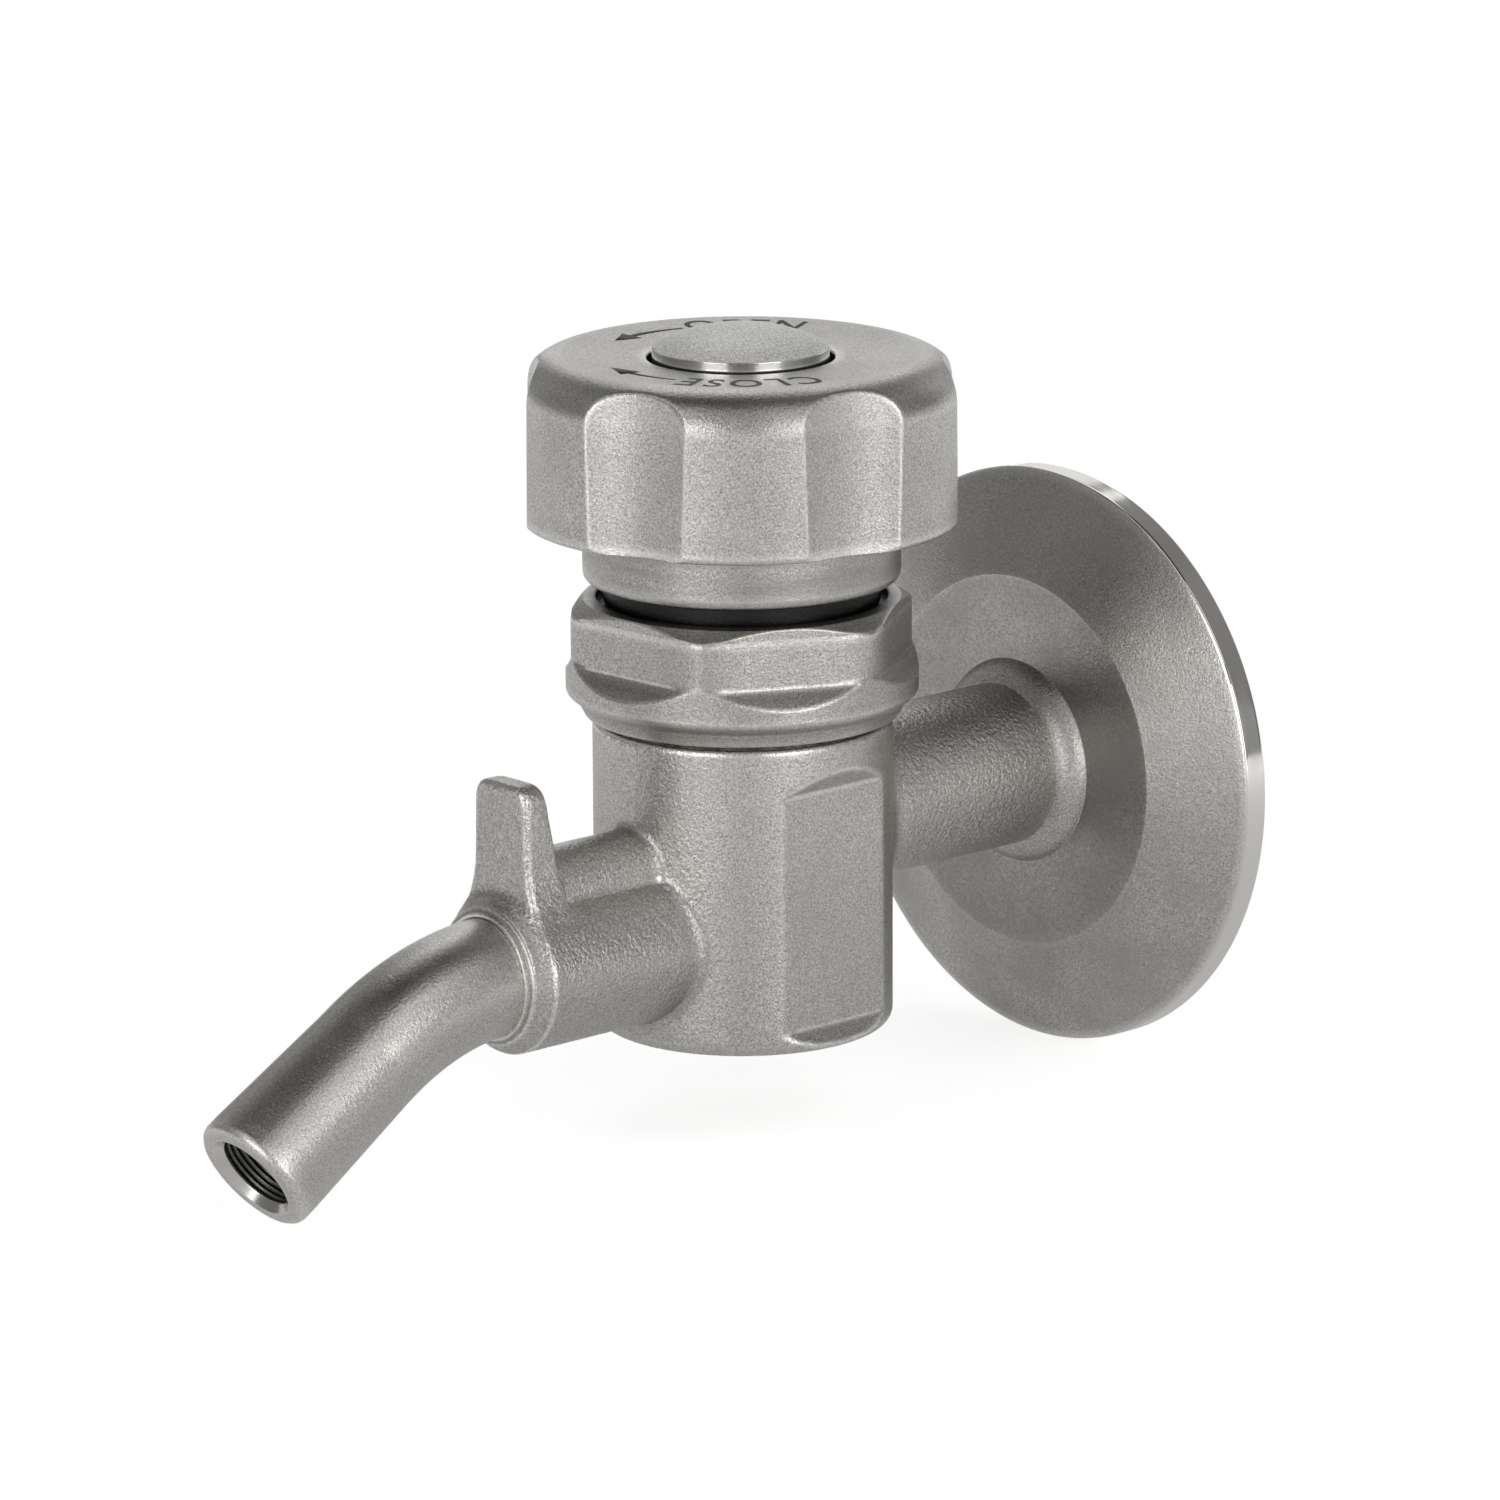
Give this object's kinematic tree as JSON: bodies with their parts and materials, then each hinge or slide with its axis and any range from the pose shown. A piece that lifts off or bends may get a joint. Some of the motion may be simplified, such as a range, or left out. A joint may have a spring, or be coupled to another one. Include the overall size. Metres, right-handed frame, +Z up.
{
  "type": "sanitary sampling valve",
  "caption": "Stainless sampling valve: clamp ferrule inlet, cast body with union nut, fluted handwheel that lifts a sealing plug, and a bent threaded spout.",
  "frame": {"origin": "centre of the clamp face of the inlet ferrule", "axes": "+Y out of the inlet towards the mating ferrule, +Z up along the stem, spout towards -Y"},
  "size_m": [0.0506, 0.0929, 0.068],
  "materials": {
    "cast_steel": "bead-blasted cast stainless steel, fine orange-peel skin",
    "flange_steel": "blasted stainless steel with a turned rim",
    "wheel_steel": "blasted stainless steel with a satin top",
    "collar_steel": "turned stainless steel, streaked",
    "polished_steel": "polished stainless steel",
    "turned_steel": "fine turned stainless steel",
    "bronze": "turned bearing bronze",
    "white_plastic": "white fluoropolymer",
    "seal_rubber": "matt black rubber"
  },
  "bodies": {
    "valve": {"valve_body": "cast_steel", "clamp_ferrule": "flange_steel", "ferrule_weld": "cast_steel", "spout_tube": "cast_steel", "spout_weld": "cast_steel", "bonnet": "turned_steel", "bonnet_gasket": "seal_rubber", "guide_bush": "white_plastic", "spindle_nut": "bronze", "bonnet_ring": "seal_rubber", "rod_rings": "seal_rubber", "union_nut": "cast_steel"},
    "plunger": {"plunger": "turned_steel", "plug_seal": "white_plastic", "plug_screw": "turned_steel", "thrust_disc": "bronze", "swivel_pins": "turned_steel", "guide_pin": "turned_steel"},
    "wheel": {"spindle": "turned_steel", "handwheel": "wheel_steel", "skirt_collar": "collar_steel", "wheel_washer": "turned_steel", "wheel_screw": "turned_steel", "dome_cap": "polished_steel", "cap_ring": "seal_rubber"}
  },
  "joints": [
    {"name": "stem_lift", "type": "slide", "parent": "valve", "child": "plunger", "axis": [0, 0, 1], "range_m": [0, 0.004]},
    {"name": "handwheel_turn", "type": "hinge", "parent": "plunger", "child": "wheel", "pos_m": [0, -0.037, 0.015], "axis": [0, 0, 1], "range_deg": [0, 720]}
  ],
  "couplings": [
    {"joint": "handwheel_turn", "follows": "stem_lift", "rad_per_m": 3141.6}
  ]
}
